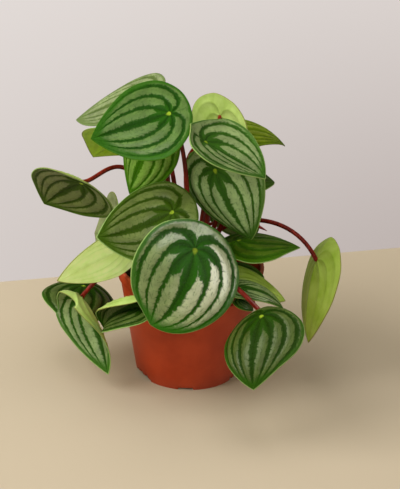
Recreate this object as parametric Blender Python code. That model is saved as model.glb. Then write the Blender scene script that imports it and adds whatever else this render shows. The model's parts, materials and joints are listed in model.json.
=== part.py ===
"""Potted peperomia: a round-leaved houseplant in a thin plastic nursery pot.

Metres, +Z up. The origin is the centre of the pot's base, and -Y is the plant's front. Every leaf
is a blade and a stalk. The stalks rise from seats on a short crown in the middle of the soil, and
each one meets its blade from beneath, inside the blade's outline.
"""
import math
from dataclasses import dataclass

import bmesh
import bpy
import numpy as np
from mathutils import Vector

MM = 0.001
GAP = 0.3 * MM                  # clearance between touching pieces

# Pot: a 12 cm nursery pot
RIM_RADIUS = 60 * MM
RIM_TOP = 94.5 * MM
RIM_HEIGHT = 10 * MM
RIM_STEP = 1.4 * MM             # how far the rim stands proud of the wall
BASE_RADIUS = 42.5 * MM
WALL = 1.2 * MM
FLOOR_THICKNESS = 1.5 * MM
FLAT_RADIUS = 36 * MM           # flat part of the floor, inside the notches
NOTCH_WIDTH = 13 * MM           # square notch at the front of the base
NOTCH_HEIGHT = 1.8 * MM
ARCH_FROM, ARCH_TO = math.radians(-168), math.radians(-132)
ARCH_HEIGHT = 3 * MM
NOTCH_SLOPE = 1.5 * MM          # run of the notch's sloping sides
POT_SIDES = 36

# Soil and crown
SOIL_EDGE = 79 * MM
SOIL_TOP = 81.2 * MM
CROWN_RADIUS = 10 * MM
CROWN_TOP = 113 * MM
TIER_HEIGHTS = (87.5 * MM, 96.5 * MM, 105.5 * MM)
TIER_OFFSETS = (0.0, 0.5, 0.25)
SEATS_PER_TIER = 9

# Blades and stalks
BLADE = 1.3 * MM
OUTLINE_POINT = 0.85            # how strongly the outline narrows to its tip
BLADE_RINGS = (0.1, 0.4, 0.72, 1.0)
BLADE_SPOKES = 16
STALK_FOOT, STALK_HEAD = 2.1 * MM, 1.7 * MM
STALK_STEPS = 7
STALK_SIDES = 6


@dataclass(frozen=True)
class Leaf:
    """One leaf: lengths in millimetres, angles in degrees."""

    at: tuple                   # where the stalk meets the blade
    turn: tuple                 # heading of the tip, pitch down to the tip, roll
    size: tuple                 # joint to tip, full width
    seat: tuple                 # tier and slot on the crown
    via: tuple                  # way points of the stalk
    back: float = 0.32          # joint to back edge, as a share of joint to tip
    droop: float = 10           # bend of the tip end
    curl: float = 0             # extra bend near the tip
    hang: float = 10            # bend of the back end
    cup: tuple = (15, 15)       # bend of the left and right halves
    fold: float = 0             # crease along the midrib
    twist: float = 0            # turn of the tip about the midrib


LEAVES = (
    # upper crown of leaves
    Leaf((-20, -31, 233), (185, 19, -33), (63, 75), (2, 6), ((-4, -28, 136), (-2, -10, 194)),
         back=0.26, droop=5, curl=-7, cup=(-3, 9), twist=-17),
    Leaf((-47, 40, 223), (156, 25, -19), (67, 71), (2, 3), ((-16, 34, 142), (-20, 52, 192)),
         curl=-5, cup=(-5, 5)),
    Leaf((-53, 32, 192), (124, 21, 27), (60, 71), (2, 4), ((-26, 6, 134), (-54, 16, 164)),
         droop=30, curl=5, cup=(20, 15)),
    Leaf((-34, -11, 204), (151, 62, -80), (64, 54), (2, 5), ((-24, -12, 136), (-16, 12, 194)),
         droop=25, curl=-5, cup=(35, 0), fold=5, twist=5),
    Leaf((7, -56, 220), (-20, 26, -6), (54, 77), (2, 7),
         ((18, -24, 142), (14, 2, 198), (10, -8, 226), (4, -36, 208)),
         back=0.33, droop=-15, curl=19, hang=-39, cup=(-4, 21), fold=-18, twist=14),
    Leaf((16, -34, 190), (-39, 65, 84), (66, 76), (2, 8), ((20, -12, 132), (30, -12, 182)),
         droop=35, hang=15, cup=(20, 10), fold=5, twist=5),
    Leaf((19, 9, 218), (83, 93, 52), (51, 72), (2, 0), ((42, -12, 140), (16, -22, 216)),
         back=0.35, droop=-1, curl=2, hang=2, cup=(22, -6), fold=-2),
    Leaf((21, 42, 193), (8, -19, 5), (58, 69), (2, 2), ((0, 30, 132), (-26, 66, 182), (8, 58, 174)),
         droop=60, curl=10, hang=15, cup=(15, 10), twist=-5),
    Leaf((16, 21, 171), (24, 5, 16), (62, 71), (2, 1), ((16, 20, 124), (12, 24, 148)),
         droop=30, curl=5, cup=(25, 15), twist=-5),
    # front
    Leaf((-15, -43, 157), (184, 32, -29), (64, 73), (1, 6), ((-4, -24, 116), (-6, -32, 138)),
         back=0.3, droop=-27, curl=-13, hang=23, cup=(18, 7), twist=-23),
    Leaf((3, -87, 146), (260, 54, -42), (81, 96), (1, 7), ((10, -24, 120), (-6, -62, 130)),
         back=0.27, droop=73, curl=19, hang=-5, cup=(29, 5), fold=-5, twist=29),
    # left side
    Leaf((-89, -5, 163), (125, 28, -140), (63, 74), (1, 4), ((-28, 8, 126), (-54, 52, 202), (-72, 10, 158)),
         droop=-20, curl=5, hang=-30, cup=(-20, -10), fold=-5, twist=5),
    Leaf((-62, 17, 114), (103, 28, 103), (61, 65), (1, 3),
         ((-32, 8, 110), (-64, -20, 132), (-76, -2, 128)),
         droop=20, hang=15, cup=(20, 45), fold=5, twist=-5),
    Leaf((-54, -32, 119), (212, 10, 79), (62, 45), (1, 5),
         ((-16, -16, 110), (-28, -30, 114), (-40, -42, 116)),
         droop=15, curl=-5, twist=5),
    Leaf((-89, 16, 62), (269, -1, -6), (49, 69), (0, 3),
         ((-22, 22, 116), (-58, 28, 124), (-72, 46, 68), (-90, 42, 38)),
         droop=50, curl=10, cup=(45, 20), fold=5),
    Leaf((-88, -21, 69), (-17, 50, 114), (67, 55), (0, 4), ((-28, 2, 120), (-66, -20, 102)),
         droop=-50, curl=20, hang=-80, cup=(-70, -30), fold=-20, twist=-30),
    Leaf((-36, -58, 81), (173, 11, -28), (50, 49), (0, 5),
         ((-14, -28, 100), (-10, -78, 120), (-12, -78, 76), (-30, -64, 64)),
         droop=65, curl=15, hang=-15, cup=(10, -175), fold=-25, twist=-5),
    # right side
    Leaf((37, -18, 124), (16, -11, -11), (54, 71), (1, 8), ((16, -6, 108), (38, -18, 110)),
         back=0.31, droop=42, cup=(-3, 23), fold=8, twist=4),
    Leaf((38, -61, 103), (10, 2, 9), (48, 26), (0, 8),
         ((16, -22, 104), (12, -38, 110), (18, -76, 114), (18, -94, 74)),
         droop=58, curl=5, hang=9, cup=(9, 13), twist=4),
    Leaf((34, -45, 100), (5, 17, -152), (46, 38), (0, 0),
         ((20, -8, 100), (30, -24, 118), (36, -44, 118)),
         droop=-7, curl=-7, hang=2, cup=(39, -19), fold=7, twist=-5),
    Leaf((33, -14, 101), (-23, -10, -3), (30, 25), (0, 1), ((16, 8, 96), (32, -12, 88)),
         back=0.28, droop=38, curl=5, cup=(22, 15), twist=-7),
    Leaf((56, -93, 96), (-110, 24, 20), (60, 74), (0, 6),
         ((-4, -38, 130), (46, -100, 122), (48, -78, 94), (60, -60, 82)),
         back=0.2, droop=50, curl=5, hang=25, cup=(20, 40), fold=5, twist=-15),
    Leaf((102, -6, 105), (56, 115, 42), (69, 74), (0, 2), ((12, 36, 128), (78, 8, 148)),
         droop=-20, curl=-5, hang=-35, cup=(-5, -5), fold=-10, twist=-5),
    Leaf((38, -62, 93), (20, 19, 16), (19, 21), (0, 7), ((2, -36, 122), (22, -78, 82)),
         droop=40, curl=5, cup=(15, 5), twist=-5),
    # back
    Leaf((-34, 52, 138), (109, -20, -67), (52, 60), (1, 2), ((-4, 22, 114), (-14, 56, 128)),
         droop=45, hang=5, cup=(15, -5), fold=-5, twist=5),
    Leaf((23, 56, 155), (64, -27, 51), (52, 60), (1, 1), ((8, 20, 120), (6, 64, 138)),
         droop=50, curl=5),
    Leaf((27, 45, 121), (54, -12, 33), (52, 60), (1, 0), ((18, 12, 108), (22, 48, 106)),
         droop=50, cup=(15, 10)),
)

# Young shoot: a thin stalk from the crown's top that ends in a rolled-up leaf
SHOOT_VIA = ((0, 0, 113.3), (0, 5, 125), (30, -2, 145), (60, -12, 131))
SHOOT_RADII = (1.7, 1.5, 1.4, 1.3, 1.3, 1.3, 1.9, 2.1, 0.5)

GREEN = (0.10, 0.24, 0.08)
PALE_GREEN = (0.42, 0.55, 0.16)
STALK_RED = (0.24, 0.035, 0.03)
TERRACOTTA = (0.38, 0.10, 0.045)
EARTH = (0.035, 0.026, 0.02)


def clear_scene():
    """Remove every object in the scene."""
    for item in list(bpy.data.objects):
        bpy.data.objects.remove(item, do_unlink=True)


def material(name, color, roughness):
    """Return a new Principled material."""
    result = bpy.data.materials.new(name)
    result.use_nodes = True
    shader = result.node_tree.nodes["Principled BSDF"]
    shader.inputs["Base Color"].default_value = (*color, 1)
    shader.inputs["Roughness"].default_value = roughness
    shader.inputs["Metallic"].default_value = 0
    return result


def add_object(name, bm, color, roughness):
    """Turn a bmesh into a named object with its own material."""
    bmesh.ops.recalc_face_normals(bm, faces=bm.faces)
    mesh = bpy.data.meshes.new(name)
    bm.to_mesh(mesh)
    bm.free()
    mesh.materials.append(material(name, color, roughness))
    mesh.shade_smooth()
    mesh.set_sharp_from_angle(angle=math.radians(40))
    result = bpy.data.objects.new(name, mesh)
    bpy.context.collection.objects.link(result)
    return result


def bridge_rings(bm, lower, upper):
    """Join two closed rings of vertices, either of which may be a single point."""
    count = max(len(lower), len(upper))
    for i in range(count):
        j = (i + 1) % count
        corners = [lower[i % len(lower)], lower[j % len(lower)],
                   upper[j % len(upper)], upper[i % len(upper)]]
        bm.faces.new(list(dict.fromkeys(corners)))


def lathe(profile, angles, lift=None):
    """Turn a (radius, height) profile about Z; lift raises the points marked with a third True."""
    bm = bmesh.new()
    rings = []
    for radius, height, *marked in profile:
        if radius == 0:
            rings.append([bm.verts.new((0, 0, height))])
            continue
        heights = [height + (lift(a) if marked else 0) for a in angles]
        rings.append([bm.verts.new((radius * math.cos(a), radius * math.sin(a), z))
                      for a, z in zip(angles, heights)])
    for lower, upper in zip(rings, rings[1:]):
        bridge_rings(bm, lower, upper)
    return bm


def even_angles(count):
    """Return count angles around a full turn, with one exactly at the front."""
    return [-math.pi / 2 + 2 * math.pi * i / count for i in range(count)]


def base_lift(angle):
    """Return how far the base's corner is raised at an angle: the front notch and the left arch."""
    if abs(angle + math.pi / 2) * BASE_RADIUS <= NOTCH_WIDTH / 2:
        return NOTCH_HEIGHT
    angle = angle - 2 * math.pi if angle > math.pi / 2 else angle
    if ARCH_FROM < angle < ARCH_TO:
        return ARCH_HEIGHT * math.sin(math.pi * (angle - ARCH_FROM) / (ARCH_TO - ARCH_FROM)) ** 0.5
    return 0.0


def wall_radius(height):
    """Return the outer radius of the pot's tapered wall at a height."""
    below_rim = RIM_TOP - RIM_HEIGHT
    top_radius = RIM_RADIUS - RIM_STEP - 0.8 * MM
    return BASE_RADIUS + (top_radius - BASE_RADIUS) * height / below_rim


def build_pot():
    """Build the pot: tapered wall, stepped rim and a flat floor with drain notches at its corner."""
    below_rim = RIM_TOP - RIM_HEIGHT
    inner_top = RIM_TOP - 1 * MM
    profile = (
        (0, 0),
        (FLAT_RADIUS, 0),
        (BASE_RADIUS, 0, True),
        (wall_radius(6 * MM), 6 * MM),
        (wall_radius(below_rim), below_rim),
        (RIM_RADIUS - 0.8 * MM, below_rim),
        (RIM_RADIUS, inner_top),
        (RIM_RADIUS - 0.8 * MM, RIM_TOP),
        (RIM_RADIUS - 2.6 * MM, RIM_TOP),
        (RIM_RADIUS - 3.3 * MM, inner_top),
        (wall_radius(below_rim) - WALL, below_rim),
        (wall_radius(6 * MM) - WALL, 6 * MM),
        (BASE_RADIUS - WALL, FLOOR_THICKNESS, True),
        (FLAT_RADIUS, FLOOR_THICKNESS),
        (0, FLOOR_THICKNESS),
    )
    angles = even_angles(POT_SIDES)
    for side in (-1, 1):
        for edge in (NOTCH_WIDTH / 2, NOTCH_WIDTH / 2 + NOTCH_SLOPE):
            angles.append(-math.pi / 2 + side * edge / BASE_RADIUS)
    return add_object("pot", lathe(profile, sorted(angles), base_lift), TERRACOTTA, 0.5)


def build_soil():
    """Build the soil: one solid that fills the pot to just below the rim."""
    floor = FLOOR_THICKNESS + GAP
    side_gap = WALL + 1.5 * GAP
    profile = (
        (0, floor),
        (FLAT_RADIUS - 2 * MM, floor),
        (wall_radius(7 * MM) - side_gap, 7 * MM),
        (wall_radius(SOIL_EDGE) - side_gap, SOIL_EDGE),
        (0.68 * RIM_RADIUS, SOIL_EDGE + 1.4 * MM),
        (0.24 * RIM_RADIUS, SOIL_TOP),
        (0, SOIL_TOP),
    )
    return add_object("soil", lathe(profile, even_angles(POT_SIDES)), EARTH, 0.95)


def build_crown():
    """Build the crown: the short stout stem that carries every stalk."""
    profile = (
        (0, SOIL_TOP + GAP),
        (CROWN_RADIUS, SOIL_TOP + GAP),
        (CROWN_RADIUS, CROWN_TOP - 5 * MM),
        (0.72 * CROWN_RADIUS, CROWN_TOP - 1 * MM),
        (0, CROWN_TOP),
    )
    return add_object("crown", lathe(profile, even_angles(20)), STALK_RED, 0.6)


def mean_of(function, amount):
    """Return the mean of a bend function between the joint and a distance, by eight midpoints."""
    steps = (np.arange(8) + 0.5) / 8
    return function(np.multiply.outer(amount, steps)).mean(axis=-1)


def blade_surface(leaf, x, y):
    """Bend the flat blade: x runs from the joint to the tip, y to the left, z is the upper side."""
    length, half_width = leaf.size[0] * MM, leaf.size[1] * MM / 2
    back = leaf.back * length
    droop, curl, hang = (math.radians(a) for a in (leaf.droop, leaf.curl, leaf.hang))

    def slope(s):
        ahead, behind = np.maximum(s / length, 0), np.maximum(-s / back, 0)
        return droop * ahead + curl * ahead ** 3 - hang * behind

    cup = np.radians(np.where(y > 0, *leaf.cup))
    side = math.radians(leaf.fold) + np.multiply.outer(cup * np.abs(y) / half_width,
                                                       (np.arange(8) + 0.5) / 8)
    along = x * mean_of(lambda s: np.cos(slope(s)), x)
    height = -x * mean_of(lambda s: np.sin(slope(s)), x)
    across = y * np.cos(side).mean(axis=-1)
    rise = -np.abs(y) * np.sin(side).mean(axis=-1)
    twist = math.radians(leaf.twist) * x / length
    left = across * np.cos(twist) - rise * np.sin(twist)
    up = across * np.sin(twist) + rise * np.cos(twist)
    return np.stack([along + up * np.sin(slope(x)), left, height + up * np.cos(slope(x))], axis=-1)


def blade_outline(leaf, spokes):
    """Return the flat outline, an egg shape drawn out to a tip, starting at the tip."""
    length, width = leaf.size[0] * MM, leaf.size[1] * MM
    back = leaf.back * length

    def half_width(t):
        return np.sin(t) * np.abs(np.sin(t / 2)) ** OUTLINE_POINT

    t = np.linspace(0, 2 * np.pi, spokes, endpoint=False)
    widest = half_width(np.linspace(0, np.pi, 400)).max()
    x = (length - back) / 2 + (length + back) / 2 * np.cos(t)
    return x, width / 2 * half_width(t) / widest


def build_blade(name, leaf, color):
    """Build one blade about its joint, thickened evenly on both sides."""
    bm = bmesh.new()
    x, y = blade_outline(leaf, BLADE_SPOKES)
    previous = [bm.verts.new((0, 0, 0))]
    for share in BLADE_RINGS:
        ring = [bm.verts.new(p) for p in blade_surface(leaf, share * x, share * y)]
        bridge_rings(bm, previous, ring)
        previous = ring
    bmesh.ops.triangulate(bm, faces=bm.faces, quad_method="FIXED")
    blade = add_object(name, bm, color, 0.4)
    thicken = blade.modifiers.new("thickness", "SOLIDIFY")
    thicken.thickness = BLADE
    thicken.offset = 0
    blade.location = Vector(leaf.at) * MM
    heading, pitch, roll = (math.radians(a) for a in leaf.turn)
    blade.rotation_euler = (roll, pitch, heading)
    bpy.context.view_layer.update()
    return blade


def curve_points(controls, steps):
    """Return points along a Bezier curve of any degree, by repeated halfway mixing."""
    points = []
    for i in range(steps + 1):
        level = [Vector(c) for c in controls]
        while len(level) > 1:
            level = [a.lerp(b, i / steps) for a, b in zip(level, level[1:])]
        points.append(level[0])
    return points


def tube(controls, radii, start_normal, end_normal):
    """Build a closed tube along a curve, with a radius for each ring and set end planes."""
    bm = bmesh.new()
    steps = len(radii) - 1
    points = curve_points(controls, steps)
    normals = [(b - a).normalized() for a, b in zip(points, points[2:])]
    normals = [start_normal, *normals, end_normal]
    side = start_normal.orthogonal().normalized()
    rings = []
    for point, normal, radius in zip(points, normals, radii):
        side = (side - normal * side.dot(normal)).normalized()
        other = normal.cross(side)
        angles = [2 * math.pi * i / STALK_SIDES for i in range(STALK_SIDES)]
        rings.append([bm.verts.new(point + radius * (math.cos(a) * side + math.sin(a) * other))
                      for a in angles])
    for lower, upper in zip(rings, rings[1:]):
        bridge_rings(bm, lower, upper)
    bm.faces.new(reversed(rings[0]))
    bm.faces.new(rings[-1])
    return bm


def seat_on_crown(tier, slot):
    """Return a stalk's first point just clear of the crown, and the direction it leaves in."""
    angle = 2 * math.pi * (slot + TIER_OFFSETS[tier]) / SEATS_PER_TIER
    outward = Vector((math.cos(angle), math.sin(angle), 0))
    return outward * (CROWN_RADIUS + GAP) + Vector((0, 0, TIER_HEIGHTS[tier])), outward


def joint_clearance(leaf):
    """Return how far below the joint a stalk ends, so that its flat end clears a creased blade."""
    steepest = max(leaf.fold, 0) + 0.05 * max(*leaf.cup, leaf.droop, leaf.hang, 0)
    return BLADE / 2 + GAP + STALK_HEAD * math.sin(math.radians(steepest))


def build_stalk(name, leaf, blade):
    """Build one stalk from its seat on the crown to the underside of its blade."""
    start, outward = seat_on_crown(*leaf.seat)
    upward = (blade.matrix_world.to_3x3() @ Vector((0, 0, 1))).normalized()
    end = blade.location - upward * joint_clearance(leaf)
    controls = [start, *(Vector(p) * MM for p in leaf.via), end]
    shares = [i / STALK_STEPS for i in range(STALK_STEPS + 1)]
    radii = [STALK_FOOT + (STALK_HEAD - STALK_FOOT) * s for s in shares]
    return add_object(name, tube(controls, radii, outward, upward), STALK_RED, 0.45)


def build_shoot():
    """Build the young shoot on the crown's top."""
    controls = [Vector(p) * MM for p in SHOOT_VIA]
    radii = [r * MM for r in SHOOT_RADII]
    end_normal = (controls[-1] - controls[-2]).normalized()
    return add_object("young_shoot", tube(controls, radii, Vector((0, 0, 1)), end_normal), STALK_RED, 0.6)


def main():
    """Build the pot, the soil, the crown, the leaves and the young shoot."""
    clear_scene()
    build_pot()
    build_soil()
    build_crown()
    for number, leaf in enumerate(LEAVES, start=1):
        facing_down = math.cos(math.radians(leaf.turn[1])) * math.cos(math.radians(leaf.turn[2])) < 0
        blade = build_blade(f"leaf_{number:02d}", leaf, PALE_GREEN if facing_down else GREEN)
        build_stalk(f"stalk_{number:02d}", leaf, blade)
    build_shoot()


if __name__ == "__main__":
    main()
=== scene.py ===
"""Looks of a potted peperomia: silver-striped leaves on red stalks, soil and a thin plastic pot.

Metres, +Z up. The origin is the centre of the pot's base, and -Y is the plant's front. Every fine
piece takes the place of one CAD node and is made from the same design values.
"""
import json
import logging
import math
import random
from dataclasses import dataclass
from enum import Enum
from typing import Callable

import bmesh
import bpy
import numpy as np
from mathutils import Euler, Matrix, Vector, noise


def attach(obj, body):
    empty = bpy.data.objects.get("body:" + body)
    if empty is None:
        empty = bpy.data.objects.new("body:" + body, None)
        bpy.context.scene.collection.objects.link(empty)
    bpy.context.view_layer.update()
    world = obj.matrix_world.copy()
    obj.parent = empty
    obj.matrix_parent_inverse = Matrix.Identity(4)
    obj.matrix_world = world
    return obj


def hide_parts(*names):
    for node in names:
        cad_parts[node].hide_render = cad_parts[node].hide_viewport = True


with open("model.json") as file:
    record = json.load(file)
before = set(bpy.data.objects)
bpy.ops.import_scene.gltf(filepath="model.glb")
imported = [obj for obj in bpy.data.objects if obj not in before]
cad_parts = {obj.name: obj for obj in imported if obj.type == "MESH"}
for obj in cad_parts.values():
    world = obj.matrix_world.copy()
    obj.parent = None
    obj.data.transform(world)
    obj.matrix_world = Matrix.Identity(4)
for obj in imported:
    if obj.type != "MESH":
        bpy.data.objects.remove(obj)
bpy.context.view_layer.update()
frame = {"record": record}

MM = 0.001
BODY = "root"
BLADE_MAP = "blade"             # name of the UV map on every leaf blade
LANES = 3.5                     # silver bands from the midrib round to the back, on each side
LOG = logging.getLogger("peperomia")

Colour = tuple[float, float, float, float]
Point = tuple[float, float, float]
Pair = tuple[float, float]
Step = tuple[float, float]      # where a smooth step starts and where it ends


def colour(red: int, green: int, blue: int) -> Colour:
    """Return a linear colour from everyday 0 to 255 values.

    Args:
        red, green, blue: the colour as a paint chart gives it.

    Returns:
        The linear colour with full opacity.
    """
    def linear(part: int) -> float:
        """Return one part of the colour as an amount of light, by the screens' standard curve."""
        share = part / 255
        return share / 12.92 if share <= 0.04045 else ((share + 0.055) / 1.055) ** 2.4

    return linear(red), linear(green), linear(blue), 1.0


def shaded(tone: Colour, share: float) -> Colour:
    """Return a colour made lighter or darker by a share."""
    red, green, blue, opacity = tone
    return red * share, green * share, blue * share, opacity


# ---------------------------------------------------------------------------------------- shaders


class Value:
    """One number in a shader. Arithmetic on it adds Math nodes."""

    def __init__(self, paint: "Paint", socket: bpy.types.NodeSocket) -> None:
        """Keep the paint that the value belongs to and the socket that carries it."""
        self.paint = paint
        self.socket = socket

    def maths(self, operation: str, *others: "Value | float") -> "Value":
        """Return this value combined with others by a Math node's operation."""
        return self.paint.maths(operation, self, *others)

    def __add__(self, other: "Value | float") -> "Value":
        """Return self + other."""
        return self.maths("ADD", other)

    def __sub__(self, other: "Value | float") -> "Value":
        """Return self - other."""
        return self.maths("SUBTRACT", other)

    def __rsub__(self, other: float) -> "Value":
        """Return other - self."""
        return self.paint.maths("SUBTRACT", other, self)

    def __mul__(self, other: "Value | float") -> "Value":
        """Return self * other."""
        return self.maths("MULTIPLY", other)

    def __truediv__(self, other: "Value | float") -> "Value":
        """Return self / other."""
        return self.maths("DIVIDE", other)

    def __rtruediv__(self, other: float) -> "Value":
        """Return other / self."""
        return self.paint.maths("DIVIDE", other, self)

    def __pow__(self, other: float) -> "Value":
        """Return self to the power of other."""
        return self.maths("POWER", other)

    __radd__ = __add__
    __rmul__ = __mul__

    def smooth(self, low: "Value | float", high: "Value | float") -> "Value":
        """Return 0 below low, 1 above high, and a smooth step between them."""
        node = self.paint.node("ShaderNodeMapRange", {"interpolation_type": "SMOOTHSTEP"},
                               {0: self, 1: low, 2: high, 3: 0.0, 4: 1.0})
        return Value(self.paint, node.outputs[0])


class Paint:
    """The node tree of one material, written as Python expressions."""

    SHARE, LOW, HIGH, MIXED = 0, 6, 7, 2    # a Mix node's sockets where it mixes colours
    GRAIN_ROUGHNESS = 0.55                  # how strong each finer layer of a grain is

    def __init__(self, name: str) -> None:
        """Start a material with a Principled shader.

        Args:
            name: the material's name.
        """
        self.material = bpy.data.materials.new(name)
        self.material.use_nodes = True
        self.tree = self.material.node_tree
        self.shader = self.tree.nodes["Principled BSDF"]

    def node(self, kind: str, settings: dict, sockets: dict) -> bpy.types.Node:
        """Add a node of any type.

        Args:
            kind: the node's type.
            settings: its settings, which are set first.
            sockets: values or links for its inputs, by name or number.

        Returns:
            The node.
        """
        made = self.tree.nodes.new(kind)
        for key, setting in settings.items():
            setattr(made, key, setting)
        for key, value in sockets.items():
            self.feed(made.inputs[key], value)
        return made

    def feed(self, socket: bpy.types.NodeSocket, value: object) -> None:
        """Link a value into a socket, or set the socket to it.

        Args:
            socket: the input.
            value: a value or an output to link, or a plain number or colour.
        """
        if isinstance(value, Value):
            value = value.socket
        if isinstance(value, bpy.types.NodeSocket):
            self.tree.links.new(value, socket)
        else:
            socket.default_value = value

    def maths(self, operation: str, *values: Value | float) -> Value:
        """Return the result of a Math node on these values."""
        node = self.node("ShaderNodeMath", {"operation": operation}, dict(enumerate(values)))
        return Value(self, node.outputs[0])

    def place(self) -> bpy.types.NodeSocket:
        """Return the point on the object, in metres."""
        return self.node("ShaderNodeTexCoord", {}, {}).outputs["Object"]

    def place_from(self, centre: Point) -> bpy.types.NodeSocket:
        """Return the point on the object as it lies from a centre, in metres."""
        node = self.node("ShaderNodeVectorMath", {"operation": "SUBTRACT"},
                         {0: self.place(), 1: centre})
        return node.outputs[0]

    def axes(self, vector: bpy.types.NodeSocket) -> list[Value]:
        """Return a vector's three values."""
        node = self.node("ShaderNodeSeparateXYZ", {}, {0: vector})
        return [Value(self, socket) for socket in node.outputs]

    def stretched(self, vector: bpy.types.NodeSocket, scale: Point) -> bpy.types.NodeSocket:
        """Return a vector multiplied part by part."""
        node = self.node("ShaderNodeVectorMath", {"operation": "MULTIPLY"}, {0: vector, 1: scale})
        return node.outputs[0]

    def grain(self, vector: bpy.types.NodeSocket, size: float, detail: float = 2.0) -> Value:
        """Return noise from 0 to 1, which stays near 0.5.

        Args:
            vector: the point that the noise is read at.
            size: the width of its patches, in metres.
            detail: how many finer layers it has.

        Returns:
            The noise.
        """
        node = self.node("ShaderNodeTexNoise", {"normalize": True},
                         {"Vector": vector, "Scale": 1 / size, "Detail": detail,
                          "Roughness": self.GRAIN_ROUGHNESS})
        return Value(self, node.outputs[0])

    def cells(self, vector: bpy.types.NodeSocket, size: float) -> Value:
        """Return the distance from the nearest of many scattered points, in cell widths."""
        node = self.node("ShaderNodeTexVoronoi", {}, {"Vector": vector, "Scale": 1 / size})
        return Value(self, node.outputs["Distance"])

    def mix(self, share: Value | float, low: object, high: object) -> bpy.types.NodeSocket:
        """Return a colour between two colours or colour sockets: low at 0 and high at 1."""
        node = self.node("ShaderNodeMix", {"data_type": "RGBA", "clamp_factor": True},
                         {self.SHARE: share, self.LOW: low, self.HIGH: high})
        return node.outputs[self.MIXED]

    def finish(self, base: object, roughness: Value | float, height: Value | None = None,
               depth: float = 0.0, **constants: float) -> bpy.types.Material:
        """Connect the shader and return the material.

        Args:
            base: the colour.
            roughness: the roughness.
            height: a relief from 0 to 1 for the bump.
            depth: how deep the relief is, in metres.
            constants: other sockets of the shader by name, with _ for spaces.

        Returns:
            The finished material.
        """
        self.feed(self.shader.inputs["Base Color"], base)
        self.feed(self.shader.inputs["Roughness"], roughness)
        if height is not None:
            bump = self.node("ShaderNodeBump", {},
                             {"Strength": 1.0, "Distance": depth, "Height": height})
            self.feed(self.shader.inputs["Normal"], bump.outputs[0])
        for name, amount in constants.items():
            self.shader.inputs[name.replace("_", " ")].default_value = amount
        return self.material


class Air(Paint):
    """The node tree of the world around the plant."""

    def __init__(self, name: str) -> None:
        """Start a world with an output.

        Args:
            name: the world's name, where the scene has none yet.
        """
        world = bpy.context.scene.world or bpy.data.worlds.new(name)
        bpy.context.scene.world = world
        world.use_nodes = True
        self.tree = world.node_tree
        self.tree.nodes.clear()
        self.tree.nodes.new("ShaderNodeOutputWorld").name = "World Output"


# ------------------------------------------------------------------------------- veins and patterns


def lane_of(angle: object, lean: object) -> object:
    """Return how many vein lanes a place lies from the midrib.

    The veins leave the joint like spokes, bend round before the edge and meet at the tip, as a flow
    does from a spring in a pond to a drain at its shore.

    Args:
        angle: the angle at the joint from the midrib, from 0 to pi.
        lean: the angle at the tip from the midrib, of the same place drawn in towards the joint.

    Returns:
        The lane, a whole number on a vein. It works on numbers, arrays and shader values.
    """
    return (angle + 2 * lean) / math.pi * LANES


@dataclass(frozen=True)
class LeafPlace:
    """Where a point of a blade lies: read from the blade's own UV map."""

    paint: Paint
    point: bpy.types.NodeSocket
    along: Value        # towards the tip, from -1 to 1
    side: Value         # to the left of the midrib, from -1 to 1
    angle: Value        # at the joint, from the midrib
    reach: Value        # share of the way from the joint to the edge
    lean: Value         # angle at the tip, from the midrib
    from_tip: Value     # distance from the tip, in blade lengths

    @classmethod
    def read(cls, paint: Paint) -> "LeafPlace":
        """Return the place of the point that is painted.

        Args:
            paint: the paint whose nodes it is read in.

        Returns:
            The place.
        """
        disc = paint.node("ShaderNodeUVMap", {"uv_map": BLADE_MAP}, {}).outputs[0]
        u, v, _ = paint.axes(disc)
        along, side = 2 * u - 1, 2 * v - 1
        across = side.maths("ABSOLUTE")
        reach = (along * along + across * across) ** 0.5
        ahead, aside = 1 - reach * along, reach * across
        return cls(paint, paint.place(), along, side, across.maths("ARCTAN2", along), reach,
                   aside.maths("ARCTAN2", ahead), (ahead * ahead + aside * aside) ** 0.5)

    def grain(self, size: float, detail: float = 2.0) -> Value:
        """Return noise about 0 with patches of this size, from about -0.3 to 0.3."""
        return self.paint.grain(self.point, size, detail) - 0.5

    def spread(self) -> Value:
        """Return the way from the joint as the veins go: 0 at the joint and 100 at the tip."""
        return self.reach * self.reach / (self.from_tip * self.from_tip + 0.01)

    def from_vein(self, wander: Value | float = 0.0) -> tuple[Value, Value]:
        """Return the lane, and 0 on a vein to 1 midway between two."""
        lane = lane_of(self.angle, self.lean) + wander
        return lane, 2 * lane.maths("PINGPONG", 0.5)


@dataclass(frozen=True)
class Markings:
    """What the pattern of an upper side is at a point of the blade."""

    spread: Value   # way from the joint, as the veins go
    sway: Value     # slow unevenness about 0
    streak: Value   # streaks about 0
    feather: Value  # fine raggedness about 0
    away: Value     # 0 on a vein, 1 midway between two
    rungs: Value    # 1 on a cross vein
    ragged: Value   # away, but torn
    specks: Value   # 0 at a dark speck
    split: Value    # 1 where the silver parts midway between two veins
    light: Value    # 1 in the lighter patches


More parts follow.
